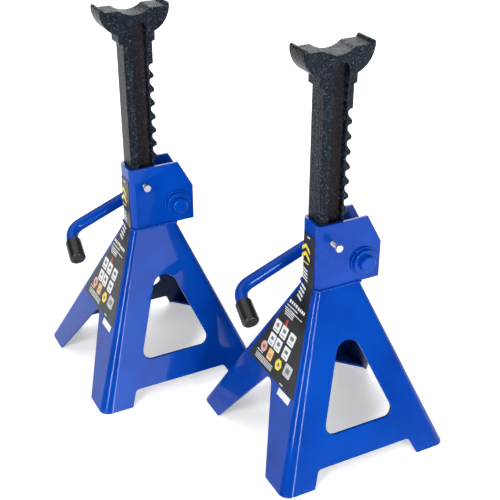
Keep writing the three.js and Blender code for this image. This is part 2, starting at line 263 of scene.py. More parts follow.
def spaced(points, step):  # the same route with points an even step apart
    evenly, walked = [points[0]], 0.0
    for a, b in zip(points, points[1:]):
        length = (b - a).length
        while walked + length >= step:
            a = a + (b - a).normalized() * (step - walked)
            length = (b - a).length
            evenly.append(a)
            walked = 0.0
        walked += length
    return evenly


def tube(name, points, radii, resolution=6):
    deselectAll()
    bpy.ops.curve.primitive_bezier_curve_add()
    line = bpy.context.object
    line.name = name
    line.data.splines.clear()
    spline = line.data.splines.new("POLY")
    spline.points.add(len(points) - 1)
    for point, place, radius in zip(spline.points, points, radii):
        point.co = (*(place * mm), 1)
        point.radius = radius
    line.data.bevel_depth = mm
    line.data.bevel_resolution = resolution
    line.data.use_fill_caps = True
    onlySelect(line)
    bpy.ops.object.convert(target="MESH")
    piece = bpy.context.object
    editAll(piece)
    bpy.ops.mesh.remove_doubles(threshold=mergeGap)
    bpy.ops.mesh.normals_make_consistent(inside=False)
    bpy.ops.object.mode_set(mode="OBJECT")
    return piece


beadShape = {"valley": 0.68, "rise": 0.42, "uneven": 0.1}  # shares of a bead's radius


def weldBead(name, corners, reach, size):
    route = spaced(bentRoute(corners, reach), size["step"])
    valley, rise, uneven = beadShape["valley"], beadShape["rise"], beadShape["uneven"]
    radii = []
    for i in range(len(route)):
        ripple = abs(math.sin(math.pi * i * size["step"] / size["ripple"]))
        radii.append(size["radius"] * (valley + rise * ripple + random.uniform(-uneven, uneven)))
    wander = size["wander"]
    route = [point + Vector([random.uniform(-wander, wander) for _ in range(3)]) for point in route]
    piece = tube(name, route, radii, 3)
    applyModifier(piece, "SUBSURF", levels=1, render_levels=1)
    return smoothShaded(piece, 60)


def refined(node, width):  # a copy of a CAD piece with its edges softened, moved into the stand's own frame
    deselectAll()
    piece = frame["nodes"][node].copy()
    piece.data = piece.data.copy()
    bpy.context.scene.collection.objects.link(piece)
    piece.parent = None
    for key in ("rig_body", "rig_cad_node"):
        if key in piece:
            del piece[key]
    piece.data.materials.clear()
    piece.data.transform(Matrix.Translation(-stands["left"]))
    return softEdges(piece, width)


def markPlace(piece):  # each point remembers where it is in the stand's own frame, for the materials
    attribute = piece.data.attributes.new("standPlace", "FLOAT_VECTOR", "POINT")
    for vert in piece.data.vertices:
        attribute.data[vert.index].vector = vert.co


def dress(piece, material):
    piece.data.materials.clear()
    piece.data.materials.append(material)


def standCopies(piece, label, material, only=None):  # one copy at each stand, then the original goes
    markPlace(piece)
    for stand, where in stands.items():
        if only and stand != only:
            continue
        copy = piece.copy()
        copy.data = piece.data.copy()
        copy.name = copy.data.name = stand + "_" + label
        bpy.context.scene.collection.objects.link(copy)
        copy.data.transform(Matrix.Translation(where))
        dress(copy, material)
        yield stand, copy
    bpy.data.objects.remove(piece)


def place(piece, label, body, nodes, material, slot, only=None):
    for stand, copy in standCopies(piece, label, material, only):
        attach(copy, stand + "_" + body)
        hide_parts(*[stand + "_" + node for node in nodes])


# helpers for materials, then the finishes themselves

base = {
    "height": 305, "sheet": 5.5, "innerLess": 8.5, "edge": 0.9, "seamGap": 0.3,
    "foot": {"front": -170, "back": 170, "side": 165, "radius": 20},
    "neck": {"front": -36, "back": 55, "side": 27, "radius": 10},
    "window": [(-72.3, 75.5, 15), (76.7, 75.5, 15), (7.6, 262, 26)],
    "notch": [(-99.75, -5), (99.75, -5), (0, 144, 14)],
    "underSill": [(-109.25, -5), (109.25, -5), (94.2, 28.5, 9), (-94.2, 28.5, 9)],
}


def baseAcross(key, t):  # a level of the base, in metres, from t = 0 at the floor to 1 at the neck
    return t * ((base["neck"][key] - base["foot"][key]) * mm) + base["foot"][key] * mm


class Wire:
    def __init__(self, finish, socket):
        self.finish = finish
        self.socket = socket

    def math(self, operation, first, second):
        return self.finish.node("ShaderNodeMath", {"operation": operation}, {0: first, 1: second})

    def __add__(self, other):
        return self.math("ADD", self, other)

    def __sub__(self, other):
        return self.math("SUBTRACT", self, other)

    def __rsub__(self, other):
        return self.math("SUBTRACT", other, self)

    def __mul__(self, other):
        return self.math("MULTIPLY", self, other)

    def __truediv__(self, other):
        return self.math("DIVIDE", self, other)

    __radd__ = __add__
    __rmul__ = __mul__

    def size(self):
        return self.math("ABSOLUTE", self, 0)

    def least(self, other):
        return self.math("MINIMUM", self, other)

    def most(self, other):
        return self.math("MAXIMUM", self, other)

    def over(self, edge, width):  # 0 below the edge, 1 above it, blended over a width
        return self.finish.node(
            "ShaderNodeMapRange", {"interpolation_type": "SMOOTHSTEP"},
            {"Value": self, "From Min": edge - width / 2, "From Max": edge + width / 2},
        )


class NodeTree:
    def __init__(self, owner):
        owner.use_nodes = True
        self.tree = owner.node_tree

    def node(self, kind, settings, inputs, output=0):
        made = self.tree.nodes.new(kind)
        for name, value in settings.items():
            setattr(made, name, value)
        for name, value in inputs.items():
            if isinstance(value, Wire):
                self.tree.links.new(value.socket, made.inputs[name])
            else:
                made.inputs[name].default_value = value
        return Wire(self, made.outputs[output])

    def mix(self, factor, first, second, blend="MIX"):
        return self.node(
            "ShaderNodeMix", {"data_type": "RGBA", "blend_type": blend},
            {0: factor, 6: first, 7: second}, 2,
        )


class Finish(NodeTree):
    def __init__(self, name):
        self.material = bpy.data.materials.new(name)
        super().__init__(self.material)
        self.shader = self.tree.nodes["Principled BSDF"]
        self.place = self.node("ShaderNodeTexCoord", {}, {}, "Object")

    def noise(self, scale, detail=2, roughness=0.5, stretch=(1, 1, 1)):
        where = self.place
        if stretch != (1, 1, 1):
            where = self.node("ShaderNodeMapping", {}, {"Vector": self.place, "Scale": stretch})
        inputs = {"Vector": where, "Scale": scale, "Detail": detail, "Roughness": roughness}
        return self.node("ShaderNodeTexNoise", {}, inputs)

    def standPlace(self):
        spot = self.node("ShaderNodeAttribute", {"attribute_name": "standPlace"}, {}, "Vector")
        made = self.tree.nodes.new("ShaderNodeSeparateXYZ")
        self.tree.links.new(spot.socket, made.inputs[0])
        return [Wire(self, out) for out in made.outputs]

    def bump(self, height, strength, distance, under=None):
        inputs = {"Height": height, "Strength": strength, "Distance": distance}
        if under:
            inputs["Normal"] = under
        return self.node("ShaderNodeBump", {}, inputs)

    def finish(self, **sockets):
        for name, value in sockets.items():
            socket = self.shader.inputs[name.replace("_", " ")]
            if isinstance(value, Wire):
                self.tree.links.new(value.socket, socket)
            else:
                socket.default_value = value
        return self.material


def color(red, green, blue):  # from 0-255 as on a screen
    def linear(value):
        value /= 255
        return value / 12.92 if value <= 0.04045 else ((value + 0.055) / 1.055) ** 2.4
    return (linear(red), linear(green), linear(blue), 1)


def bluePaint(name, lumps=0.0, paintedShadeInside=False):
    paint = {
        "color": color(0, 66, 166), "deep": color(0, 52, 144), "worn": color(58, 92, 160),
        # inside is a near-black navy painted into the inside of the base as painted shade
        "inside": color(2, 14, 38), "coat": 0.34, "coatRoughness": 0.05, "roughness": 0.25, "specular": 0.1,
        "tint": (0.12, 0.4, 1, 1), "cloud": (9, 3), "cloudEdge": (0.5, 0.5), "cloudRough": 0.06,
        "speck": (140, 3, 0.6), "speckEdge": (0.62, 0.1), "speckRough": 0.04,
        "scuff": 0.45, "scuffEdge": (0.56, 0.12), "scuffRough": 0.3, "scuffTop": 0.012,
        "shadeDepth": 0.0034, "shadeBlend": 0.001, "insideShadeShare": 0.9,
        "peelNoise": (900, 2), "peel": 0.035, "peelDepth": 0.0004,
        "waveNoise": (26, 1), "wave": 0.05, "waveDepth": 0.0012,
        "lumpNoise": (420, 3, 0.6), "lumpDepth": 0.0006,
    }
    finish = Finish(name)
    cloud = finish.noise(*paint["cloud"])
    speck = finish.noise(*paint["speck"])
    shade = finish.mix(cloud.over(*paint["cloudEdge"]), paint["deep"], paint["color"])
    height = finish.node("ShaderNodeSeparateXYZ", {}, {"Vector": finish.place}, "Z")
    scuff = (1 - height.over(paint["scuffTop"] / 2, paint["scuffTop"])) * speck.over(*paint["scuffEdge"])
    shade = finish.mix(scuff * paint["scuff"], shade, paint["worn"])
    coat = paint["coat"]
    if paintedShadeInside:  # painted shade: the inside of the base is darkened to near-black navy and loses its coat, standing in for the shade that falls inside it
        x, y, z = finish.standPlace()
        t = z / (base["height"] * mm)
        bend = baseAcross("radius", t)
        across = (bend - (baseAcross("side", t) - y.size())).most(0)
        along = (bend - (x - baseAcross("front", t)).least(baseAcross("back", t) - x)).most(0)
        square = across * across + along * along
        depth = bend - square.math("POWER", square, 0.5)
        insideShade = depth.over(paint["shadeDepth"], paint["shadeBlend"]) * paint["insideShadeShare"]
        shade = finish.mix(insideShade, shade, paint["inside"])
        coat = (1 - insideShade) * paint["coat"]
    rough = paint["roughness"] + cloud * paint["cloudRough"]
    rough = rough + speck.over(*paint["speckEdge"]) * paint["speckRough"] + scuff * paint["scuffRough"]
    skin = finish.bump(finish.noise(*paint["peelNoise"]), paint["peel"], paint["peelDepth"])
    skin = finish.bump(finish.noise(*paint["waveNoise"]), paint["wave"], paint["waveDepth"], skin)
    if lumps:
        skin = finish.bump(finish.noise(*paint["lumpNoise"]), lumps, paint["lumpDepth"], skin)
    return finish.finish(
        Base_Color=shade, Roughness=rough, Normal=skin, Coat_Weight=coat,
        Coat_Roughness=paint["coatRoughness"], Specular_IOR_Level=paint["specular"],
        Specular_Tint=paint["tint"],
    )


def blackCasting(name):
    cast = {
        "color": color(3, 5, 10), "light": color(32, 41, 56), "web": color(34, 25, 26),
        "webHalf": 0.0095, "grooveHalf": 0.0135, "webTop": 0.705, "blend": 0.004, "topBlend": 0.01,
        # the pale blue-grey dot colour and its shares below are painted glints
        "webShare": 0.8, "paintedGlints": color(122, 134, 152), "paintedGlintShare": 0.42, "webGlintLess": 0.2,
        # the grey below, with saddleZ, saddleBlend and upwardEdge, paints a reflection onto the saddle's
        # upward faces
        "paintedTopSheen": color(112, 118, 126), "saddleZ": 0.714, "saddleBlend": 0.008, "upwardEdge": (0.75, 0.5),
        "grainNoise": (560, 3, 0.6), "grainEdge": (0.55, 0.16), "grain": 0.7, "grainDepth": 0.0008,
        "pitNoise": (230, 3, 0.55), "pitEdge": (0.58, 0.16), "pit": 1.0, "pitDepth": 0.003,
        "runNoise": (60, 3, 0.5, (1, 1, 0.25)), "runEdge": (0.55, 0.3), "runShare": 0.25,
        "mottleNoise": (330, 3, 0.65), "mottleEdge": (0.56, 0.08), "mottleShare": 0.6,
        "roughness": 0.15, "grainRough": 0.14, "webRough": 0.15, "coat": 0.02, "coatRoughness": 0.12,
        "specular": 0.13, "tint": (0.7, 0.86, 1, 1),
    }
    finish = Finish(name)
    grain = finish.noise(*cast["grainNoise"])
    pits = finish.noise(*cast["pitNoise"])
    run = finish.noise(*cast["runNoise"])
    x, y, z = finish.standPlace()
    inWeb = 1 - y.size().over(cast["webHalf"], cast["blend"])
    inWeb = inWeb * (1 - x.size().over(cast["grooveHalf"], cast["blend"]))
    inWeb = inWeb * (1 - z.over(cast["webTop"], cast["topBlend"]))
    mottle = finish.noise(*cast["mottleNoise"])
    # painted glints: pale blue-grey dots on the pits and grain stand in for small highlights, fewer of them
    # in the web
    paintedGlints = pits.over(*cast["pitEdge"]) * grain.over(*cast["grainEdge"])
    cloudy = run.over(*cast["runEdge"]) * cast["runShare"]
    cloudy = cloudy + mottle.over(*cast["mottleEdge"]) * cast["mottleShare"]
    shade = finish.mix(cloudy, cast["color"], cast["light"])
    shade = finish.mix(inWeb * cast["webShare"], shade, cast["web"])
    paintedGlints = paintedGlints * (cast["paintedGlintShare"] - inWeb * cast["webGlintLess"])
    shade = finish.mix(paintedGlints, shade, cast["paintedGlints"])
    # painted reflection: faces that point upward on the saddle are lightened towards grey, standing in for
    # the light they reflect
    normal = finish.node("ShaderNodeNewGeometry", {}, {}, "Normal")
    upward = finish.node("ShaderNodeSeparateXYZ", {}, {"Vector": normal}, "Z").over(*cast["upwardEdge"])
    paintedTopSheen = upward * z.over(cast["saddleZ"], cast["saddleBlend"]) * (0.04 + run * 0.35)
    shade = finish.mix(paintedTopSheen, shade, cast["paintedTopSheen"])
    rough = cast["roughness"] + grain * cast["grainRough"] + inWeb * cast["webRough"]
    coarse = finish.bump(pits, cast["pit"], cast["pitDepth"])
    skin = finish.bump(grain, cast["grain"], cast["grainDepth"], coarse)
    return finish.finish(
        Base_Color=shade, Roughness=rough, Normal=skin, Coat_Weight=cast["coat"],
        Coat_Roughness=cast["coatRoughness"], Specular_IOR_Level=cast["specular"],
        Specular_Tint=cast["tint"],
    )


def zincPlate(name):
    zinc = {
        "dull": color(196, 200, 206), "bright": color(232, 230, 222),
        "cloud": (320, 3), "cloudEdge": (0.5, 0.4), "roughness": 0.2, "smear": (1500, 2), "smearRough": 0.2, "metallic": 0.95,
        "grainNoise": (2400, 2), "grain": 0.1, "grainDepth": 0.0002,
    }
    finish = Finish(name)
    cloud = finish.noise(*zinc["cloud"])
    shade = finish.mix(cloud.over(*zinc["cloudEdge"]), zinc["dull"], zinc["bright"])
    rough = zinc["roughness"] + finish.noise(*zinc["smear"]) * zinc["smearRough"]
    skin = finish.bump(finish.noise(*zinc["grainNoise"]), zinc["grain"], zinc["grainDepth"])
    return finish.finish(Base_Color=shade, Roughness=rough, Metallic=zinc["metallic"], Normal=skin)


def gripRubber(name):
    rubber = {
        "dark": color(12, 14, 15), "light": color(24, 27, 29), "cloud": (160, 3), "cloudEdge": (0.5, 0.4),
        "roughness": 0.24, "cloudRough": 0.14, "grainNoise": (1700, 2), "grain": 0.16, "grainDepth": 0.0003,
        "specular": 0.5,
    }
    finish = Finish(name)
    cloud = finish.noise(*rubber["cloud"])
    shade = finish.mix(cloud.over(*rubber["cloudEdge"]), rubber["dark"], rubber["light"])
    rough = rubber["roughness"] + cloud * rubber["cloudRough"]
    skin = finish.bump(finish.noise(*rubber["grainNoise"]), rubber["grain"], rubber["grainDepth"])
    return finish.finish(
        Base_Color=shade, Roughness=rough, Normal=skin, Specular_IOR_Level=rubber["specular"],
    )


def labelInk(name, tone, roughness=0.3):
    ink = {
        "cloud": (70, 3), "cloudEdge": (0.56, 0.3), "dots": (1400, 2, 0.6), "dotsEdge": (0.6, 0.1),
        "cloudWear": 0.25, "dotsWear": 0.125, "cloudRough": 0.12,
        "grainNoise": (300, 2), "grain": 0.05, "grainDepth": 0.0003,
    }
    finish = Finish(name)
    cloud = finish.noise(*ink["cloud"])
    dots = finish.noise(*ink["dots"])
    faded = tuple(value * 0.72 + 0.02 for value in tone[:3]) + (1,)
    worn = cloud.over(*ink["cloudEdge"]) * ink["cloudWear"] + dots.over(*ink["dotsEdge"]) * ink["dotsWear"]
    shade = finish.mix(worn, tone, faded)
    rough = roughness + cloud * ink["cloudRough"]
    skin = finish.bump(finish.noise(*ink["grainNoise"]), ink["grain"], ink["grainDepth"])
    return finish.finish(Base_Color=shade, Roughness=rough, Normal=skin)


paintMaterial = bluePaint("gloss_blue_paint")
panelMaterial = bluePaint("gloss_blue_panel", paintedShadeInside=True)
weldMaterial = bluePaint("gloss_blue_weld", lumps=0.4)
castMaterial = blackCasting("black_cast_iron")
zincMaterial = zincPlate("bright_zinc")
rubberMaterial = gripRubber("black_grip_rubber")
filmMaterial = labelInk("label_film_black", color(17, 19, 23), 0.28)
inks = {
    "white": labelInk("label_ink_white", color(232, 233, 232)),
    "yellow": labelInk("label_ink_yellow", color(240, 212, 60)),
    "red": labelInk("label_ink_red", color(190, 52, 44)),
    "pink": labelInk("label_ink_pink", color(232, 170, 160)),
    "orange": labelInk("label_ink_orange", color(240, 192, 128)),
    "grey": labelInk("label_ink_grey", color(188, 190, 192)),
    "dark": labelInk("label_ink_dark", color(112, 116, 122)),
}
print("materials made")

# the base: two pressed halves, feet and seam beads


def baseLevel(key, z):
    t = z / base["height"]
    return base["foot"][key] * (1 - t) + base["neck"][key] * t


def baseOutline(z, inset):
    front, back = baseLevel("front", z) + inset, baseLevel("back", z) - inset
    side, radius = baseLevel("side", z) - inset, baseLevel("radius", z)
    if inset:
        radius -= base["innerLess"]
    corners = [(front, -side), (back, -side), (back, side), (front, side)]
    return rounded([(x, y, radius) for x, y in corners], 10)


def baseBlock(inset, fromZ, toZ):
    return lofted("block", baseOutline(fromZ, inset), baseOutline(toZ, inset), fromZ, toZ)


def baseHalf(side):
    def span(a, b):
        return (a, b) if side > 0 else (-b, -a)
    half = baseBlock(0, 0, base["height"])
    combine(half, baseBlock(base["sheet"], -past, base["height"] + past))
    low, high = -beyond, base["height"] + beyond
    keep = [(-beyond, low), (beyond, low), (beyond, high), (-beyond, high)]
    combine(half, slab("keep", keep, "y", *span(base["seamGap"] / 2, beyond)), "INTERSECT")
    combine(half, slab("window", rounded(base["window"], 12), "y", *span(1, beyond)))
    combine(half, slab("underSill", rounded(base["underSill"]), "y", *span(1, beyond)))
    combine(half, slab("notch", rounded(base["notch"]), "x", -beyond, beyond))
    return softEdges(half, base["edge"])


place(baseHalf(-1), "base_near_panel", "frame", ["base_half_near"], panelMaterial, "blue_paint")
place(baseHalf(1), "base_far_panel", "frame", ["base_half_far"], panelMaterial, "blue_paint")
print("base pressed")

for spot in ("front_near", "front_far", "back_near", "back_far"):
    foot = refined("left_foot_plate_" + spot, 0.6)
    place(foot, "foot_" + spot, "frame", ["foot_plate_" + spot], paintMaterial, "blue_paint")

seam = {"step": 1.6, "ripple": 6, "radius": 2.6, "wander": 0.25, "off": 1.6, "low": 140, "high": 286}
for side, label in ((-1, "front"), (1, "back")):
    def seamPoint(z):
        return (baseLevel(label, z) - side * (base["sheet"] + seam["off"]), 0, z)
    bead = weldBead(label + "_seam", [seamPoint(seam["low"]), seamPoint(seam["high"])], [], seam)
    place(bead, label + "_seam_bead", "frame", [label + "_seam_weld"], weldMaterial, "blue_paint")
print("feet and seams done")

# the head: folded channel, guide bar and neck beads

head = {
    "top": 430, "sheet": 6, "half": 27, "front": -36, "back": 92, "bend": 10, "edge": 0.8,
    "chamferTop": 62.5, "chamferBack": 376, "bottom": 305.3, "boltHole": 4.4, "shaftHole": 15.1,
    "cutFront": -60, "cutSide": 40,
}
pivot = (57.4, 345.4)
bolt = {
    "place": (-7, 394.6), "root": 3.35, "crest": 4.0, "pitch": 1.25, "tip": -8.5, "across": 13,
    "headThick": 5.5, "chamferOut": 2.4, "chamferDeep": 1.5, "headY": {"left": -36.5, "right": -45},
}


def headChannel():
    inside, front = head["half"] - head["sheet"], head["front"] + head["sheet"]
    innerBend = head["bend"] - base["innerLess"]
    section = rounded([
        (head["back"], -head["half"]), (head["back"], -inside), (front, -inside, innerBend),
        (front, inside, innerBend), (head["back"], inside), (head["back"], head["half"]),
        (head["front"], head["half"], head["bend"]), (head["front"], -head["half"], head["bend"]),
    ], 10)
    channel = slab("head", section, "z", head["bottom"], head["top"])
    cutFront, cutSide = head["cutFront"], head["cutSide"]
    side = [
        (cutFront, head["bottom"]), (head["back"], head["bottom"]), (head["back"], head["chamferBack"]),
        (head["chamferTop"], head["top"]), (cutFront, head["top"]),
    ]
    combine(channel, slab("side", side, "y", -cutSide, cutSide), "INTERSECT")
    combine(channel, slab("shaftHole", ring(*pivot, head["shaftHole"], 48), "y", -cutSide, cutSide))
    combine(channel, slab("boltHole", ring(*bolt["place"], head["boltHole"], 24), "y", -cutSide, 0))
    return softEdges(channel, head["edge"])


place(headChannel(), "head_plate", "frame", ["head_channel"], paintMaterial, "blue_paint")
guideBar = refined("left_rear_guide_bar", 0.8)
place(guideBar, "guide_bar", "frame", ["rear_guide_bar"], paintMaterial, "blue_paint")

neckWeld = {"step": 0.9, "ripple": 5.4, "radius": 2.7, "wander": 0.3, "off": 1.3, "labelEdge": 19.6}
for side, label in ((-1, "near"), (1, "far")):
    y = side * (head["half"] + neckWeld["off"])
    z = head["bottom"] + 0.4
    x = head["front"] - neckWeld["off"]
    corners = [
        (base["neck"]["back"] + 1, y - side * 1.5, z - 2.0), (base["neck"]["back"] - 5, y, z),
        (x, y, z), (x, side * neckWeld["labelEdge"], z),
    ]
    bead = weldBead("neck", corners, [3, 10.5], neckWeld)
    place(bead, "neck_bead_" + label, "frame", ["neck_weld_" + label], weldMaterial, "blue_paint")
print("head bent and welded")

# what turns in the head

disc = {"washer": (27, 15.1, 3), "collar": (23.5, 14.9, 6), "gap": 0.3, "round": 0.9}


def discPiece(name, outer, inner, start, end):
    soft = disc["round"]
    rim = rounded([(outer, start, soft), (outer, end, soft), (inner, end), (inner, start)], 4)
    return smoothShaded(turned(name, [tuple(point) for point in rim], pivot, 64))


washerFace = head["half"] + disc["gap"]
outer, inner, thick = disc["washer"]
for side, label in ((-1, "near"), (1, "far")):
    ends = sorted((side * washerFace, side * (washerFace + thick)))
    washer = discPiece("washer", outer, inner, *ends)
    place(washer, "washer_" + label, "frame", ["pivot_washer_" + label], paintMaterial, "blue_paint")
outer, inner, deep = disc["collar"]
collarFace = -washerFace - thick - disc["gap"]
collar = discPiece("collar", outer, inner, collarFace - deep, collarFace)
place(collar, "collar", "pawl", ["shaft_collar"], paintMaterial, "blue_paint")

shaft = {"radius": 14.5, "near": -46, "far": 46, "chamfer": 1.4, "dimple": 3.2, "dimpleDepth": 1.6}
shaftProfile = [
    (0, shaft["near"] + shaft["dimpleDepth"]), (shaft["dimple"], shaft["near"]),
    (shaft["radius"] - shaft["chamfer"], shaft["near"]),
    (shaft["radius"], shaft["near"] + shaft["chamfer"]), (shaft["radius"], shaft["far"]), (0, shaft["far"]),
]
shaftPiece = softEdges(turned("shaft", shaftProfile, pivot, 64), 0.35)
place(shaftPiece, "shaft", "pawl", ["pivot_shaft"], paintMaterial, "blue_paint")
place(refined("left_pawl", 1.4), "pawl_casting", "pawl", ["pawl"], castMaterial, "black_casting")
print("pivot hardware done")

# the handle and its grip

handle = {
    "radius": 12, "arm": 92, "bend": (-127, 272.8), "end": (-134.5, 28, 243.8), "reach": [36, 26],
    "gap": 0.3,
}
handleBend = Vector((handle["bend"][0], handle["arm"], handle["bend"][1]))
handleEnd = Vector(handle["end"])
handleCorners = [
    (pivot[0], shaft["far"] + handle["gap"], pivot[1]), (pivot[0], handle["arm"], pivot[1]),
    handleBend, handleEnd,
]
rodRoute = bentRoute(handleCorners, handle["reach"], 20)
rod = tube("rod", rodRoute, [handle["radius"]] * len(rodRoute), 14)
place(softEdges(rod, 0.6), "handle_bar", "pawl", ["handle_rod"], paintMaterial, "blue_paint")

ringWeld = {
    "step": 1.1, "ripple": 5, "radius": 1.7, "wander": 0.15, "around": 13.2, "off": 1.4, "count": 24,
}
ringRoute = [
    (
        pivot[0] + ringWeld["around"] * math.cos(a), shaft["far"] + ringWeld["off"],
        pivot[1] + ringWeld["around"] * math.sin(a),
    )
    for a in [math.tau * i / ringWeld["count"] for i in range(ringWeld["count"] + 1)]
]
ringBead = weldBead("ring", ringRoute, [0] * (ringWeld["count"] - 1), ringWeld)
place(ringBead, "handle_bead", "pawl", ["handle_weld"], weldMaterial, "blue_paint")

grip = {"radius": 15.8, "length": 46, "tip": 4.8, "bore": 12.4, "round": 4.6, "gap": 0.3}


def gripSleeve():  # turned about Y with the rod's end at 0, then laid along the rod
    outer, tip, top, soft = grip["radius"], grip["tip"], grip["tip"] - grip["length"], grip["round"]
    profile = [(0, tip - 0.9), (outer - 7.5, tip - 0.7), (outer - 5.6, tip)]
    profile += [tuple(p) for p in arc(outer - soft, tip - soft, soft, 90, 0, 6)]
    profile += [
        (outer, tip - 14), (outer - 0.35, top + 14), (outer - 0.3, top + 2.2), (outer - 0.9, top + 0.5),
        (outer - 1.9, top), (grip["bore"], top), (grip["bore"], grip["gap"]), (0, grip["gap"]),
    ]
    sleeve = turned("grip", profile, (0, 0), 56)
    down = (handleEnd - handleBend).normalized()
    turn = Vector((0, 1, 0)).rotation_difference(down).to_matrix().to_4x4()
    sleeve.data.transform(Matrix.Translation(handleEnd * mm) @ turn)
    return softEdges(sleeve, 0.3, 50)


place(gripSleeve(), "grip_sleeve", "pawl", ["handle_grip"], rubberMaterial, "grip_rubber")
print("handle done")

# the stop bolt


def stopBolt(headY):
    length = bolt["tip"] - headY
    turns = int(length / bolt["pitch"])
    profile = [(0, bolt["tip"]), (bolt["root"] - 0.6, bolt["tip"])]
    for i in range(turns):
        y = bolt["tip"] - 0.5 - i * bolt["pitch"]
        root, crest = bolt["root"], bolt["crest"]
        profile += [(root, y), (crest, y - 0.45), (crest, y - 0.7), (root, y - 1.15)]
    profile += [(bolt["root"], headY - 1), (0, headY - 1)]
    shank = turned("bolt", profile, bolt["place"], 24)
    outerY = headY - bolt["headThick"]
    corner = bolt["across"] / 2 / math.cos(math.pi / 6)
    hexHead = slab("hex", ring(*bolt["place"], corner, 6), "y", outerY, headY - 0.6)
    inner = bolt["across"] / 2 - 0.3
    outer = inner + bolt["chamferOut"]
    cone = [(0, outerY), (inner, outerY), (outer, outerY + bolt["chamferDeep"]), (outer, headY), (0, headY)]
    combine(hexHead, turned("cone", cone, bolt["place"], 36), "INTERSECT")
    softEdges(hexHead, 0.15, 30)
    flange = [(0, headY), (inner, headY), (inner, headY - 0.9), (0, headY - 0.9)]
    face = smoothShaded(turned("face", flange, bolt["place"], 36))
    smoothShaded(shank, 40)
    onlySelect(hexHead)
    shank.select_set(True)
    face.select_set(True)
    bpy.ops.object.join()
    return hexHead


for stand, headY in bolt["headY"].items():
    place(stopBolt(headY), "stop_screw", "frame", ["stop_bolt"], zincMaterial, "zinc", stand)
print("bolts done")

# the ratchet column with its saddle

column = {
    "front": -29.6, "half": 20, "bottom": 252, "tip": 25, "root": 17, "pitch": 26.5, "teeth": 12,
    "firstTooth": 628, "underDrop": 2.5, "noseStart": 10, "noseEnd": 20.5, "webHalf": 7,
    "grooveHalf": 13, "grooveBottom": 363.6, "grooveTop": 705, "collarBottom": 669, "collarTop": 686,
    "collarFront": -37.6, "collarBack": 31, "flare": 689, "voxel": 1.3, "lumps": 0.4, "lumpSize": 0.014,
    "lumpLevel": 0.55, "smoothing": 6, "restDeep": 9, "restOut": 12, "restHalf": 30, "restSkin": 0.1,
}
saddle = {
    "x": -6, "half": 23.5, "top": 736, "shoulder": 730, "cradleBottom": 720, "cradleRadius": 48,
    "shoulderStart": 29.3, "shoulderEnd": 56, "lipStart": 59.5, "lipEnd": 63, "lobe": (18, 731, 47),
}


def toothSide():
    points = []
    for i in reversed(range(column["teeth"])):
        under = column["firstTooth"] - i * column["pitch"]
        tip, root = column["tip"], column["root"]
        points += [
            (tip, under - column["noseEnd"], 1.2), (root, under - column["noseStart"], 3),
            (root, under - column["underDrop"], 2), (tip, under, 1.2),
        ]
    return points


def saddleOutline():
    lobeX, lobeZ, lobeRadius = saddle["lobe"]
    lobeStart = math.degrees(math.asin((column["collarTop"] - lobeZ) / lobeRadius))
    half = arc(lobeX, lobeZ, lobeRadius, lobeStart, 0, 16) + [
        Vector((saddle["lipEnd"] + 2, saddle["top"] - 2.5)), Vector((saddle["lipEnd"], saddle["top"])),
        Vector((saddle["lipStart"], saddle["top"])), Vector((saddle["shoulderEnd"], saddle["shoulder"])),
    ]
    reach = math.degrees(math.asin(saddle["shoulderStart"] / saddle["cradleRadius"]))
    cradleZ = saddle["cradleBottom"] + saddle["cradleRadius"]
    cradle = arc(0, cradleZ, saddle["cradleRadius"], -90 + reach, -90 - reach, 16)
    mirrored = [Vector((-point.x, point.y)) for point in reversed(half)]
    return [Vector((point.x + saddle["x"], point.y)) for point in half + cradle + mirrored]


def ratchetColumn():
    side = rounded([
        (column["front"], column["bottom"]), (column["tip"], column["bottom"]), *toothSide(),
        (column["tip"], column["flare"] + 5), (column["front"], column["flare"] + 5),
    ], 3)
    half = column["half"]
    body = slab("column", side, "y", -half, half)
    collar = slab("collar", [
        (column["collarFront"], column["collarBottom"]), (column["collarBack"], column["collarBottom"]),
        (column["collarBack"], column["collarTop"] + 6), (column["collarFront"], column["collarTop"] + 6),
    ], "y", -half, half)
    combine(body, collar, "UNION")
    flare = slab("flare", [
        (-half + 0.5, column["collarBottom"] + 1), (half - 0.5, column["collarBottom"] + 1),
        (saddle["half"], column["flare"] + 4), (-saddle["half"], column["flare"] + 4),
    ], "x", column["front"] + 1.5, column["tip"] - 1.5)
    combine(body, flare, "UNION")
    top = slab("saddle", saddleOutline(), "y", -saddle["half"], saddle["half"])
    combine(body, top, "UNION")
    wide, bottom, top = column["grooveHalf"], column["grooveBottom"], column["grooveTop"]
    groove = rounded([(-wide, bottom, 4), (wide, bottom, 4), (wide, top, 8), (-wide, top, 8)], 6)
    for start, end in ((-half * 2, -column["webHalf"]), (column["webHalf"], half * 2)):
        combine(body, slab("groove", groove, "y", start, end))
    applyModifier(body, "REMESH", mode="VOXEL", voxel_size=column["voxel"] * mm, adaptivity=0)
    applyModifier(body, "SMOOTH", factor=0.5, iterations=column["smoothing"])
    lumps = bpy.data.textures.new("castLumps", "CLOUDS")
    lumps.noise_scale = column["lumpSize"]
    applyModifier(
        body, "DISPLACE", texture=lumps, texture_coords="LOCAL", strength=column["lumps"] * mm,
        mid_level=column["lumpLevel"],
    )
    # the collar comes to rest on the head, so its underside is cut flat
    low, high = column["collarBottom"] - column["restDeep"], column["collarBottom"] + column["restSkin"]
    near, out = column["front"] - column["restSkin"], column["front"] - column["restOut"]
    rest = [(out, low), (near, low), (near, high), (out, high)]
    combine(body, slab("rest", rest, "y", -column["restHalf"], column["restHalf"]))
    onlySelect(body)
    bpy.ops.object.shade_smooth()
    return body


place(ratchetColumn(), "column_casting", "column", ["ratchet_column"], castMaterial, "black_casting")
print("column cast")

# the label and its print

label = {"skin": 1.05, "lift": 0.06, "ink": 0.12}
for stand in stands:
    dress(frame["nodes"][stand + "_front_label"], filmMaterial)
    dress(frame["nodes"][stand + "_id_strip"], inks["white"])


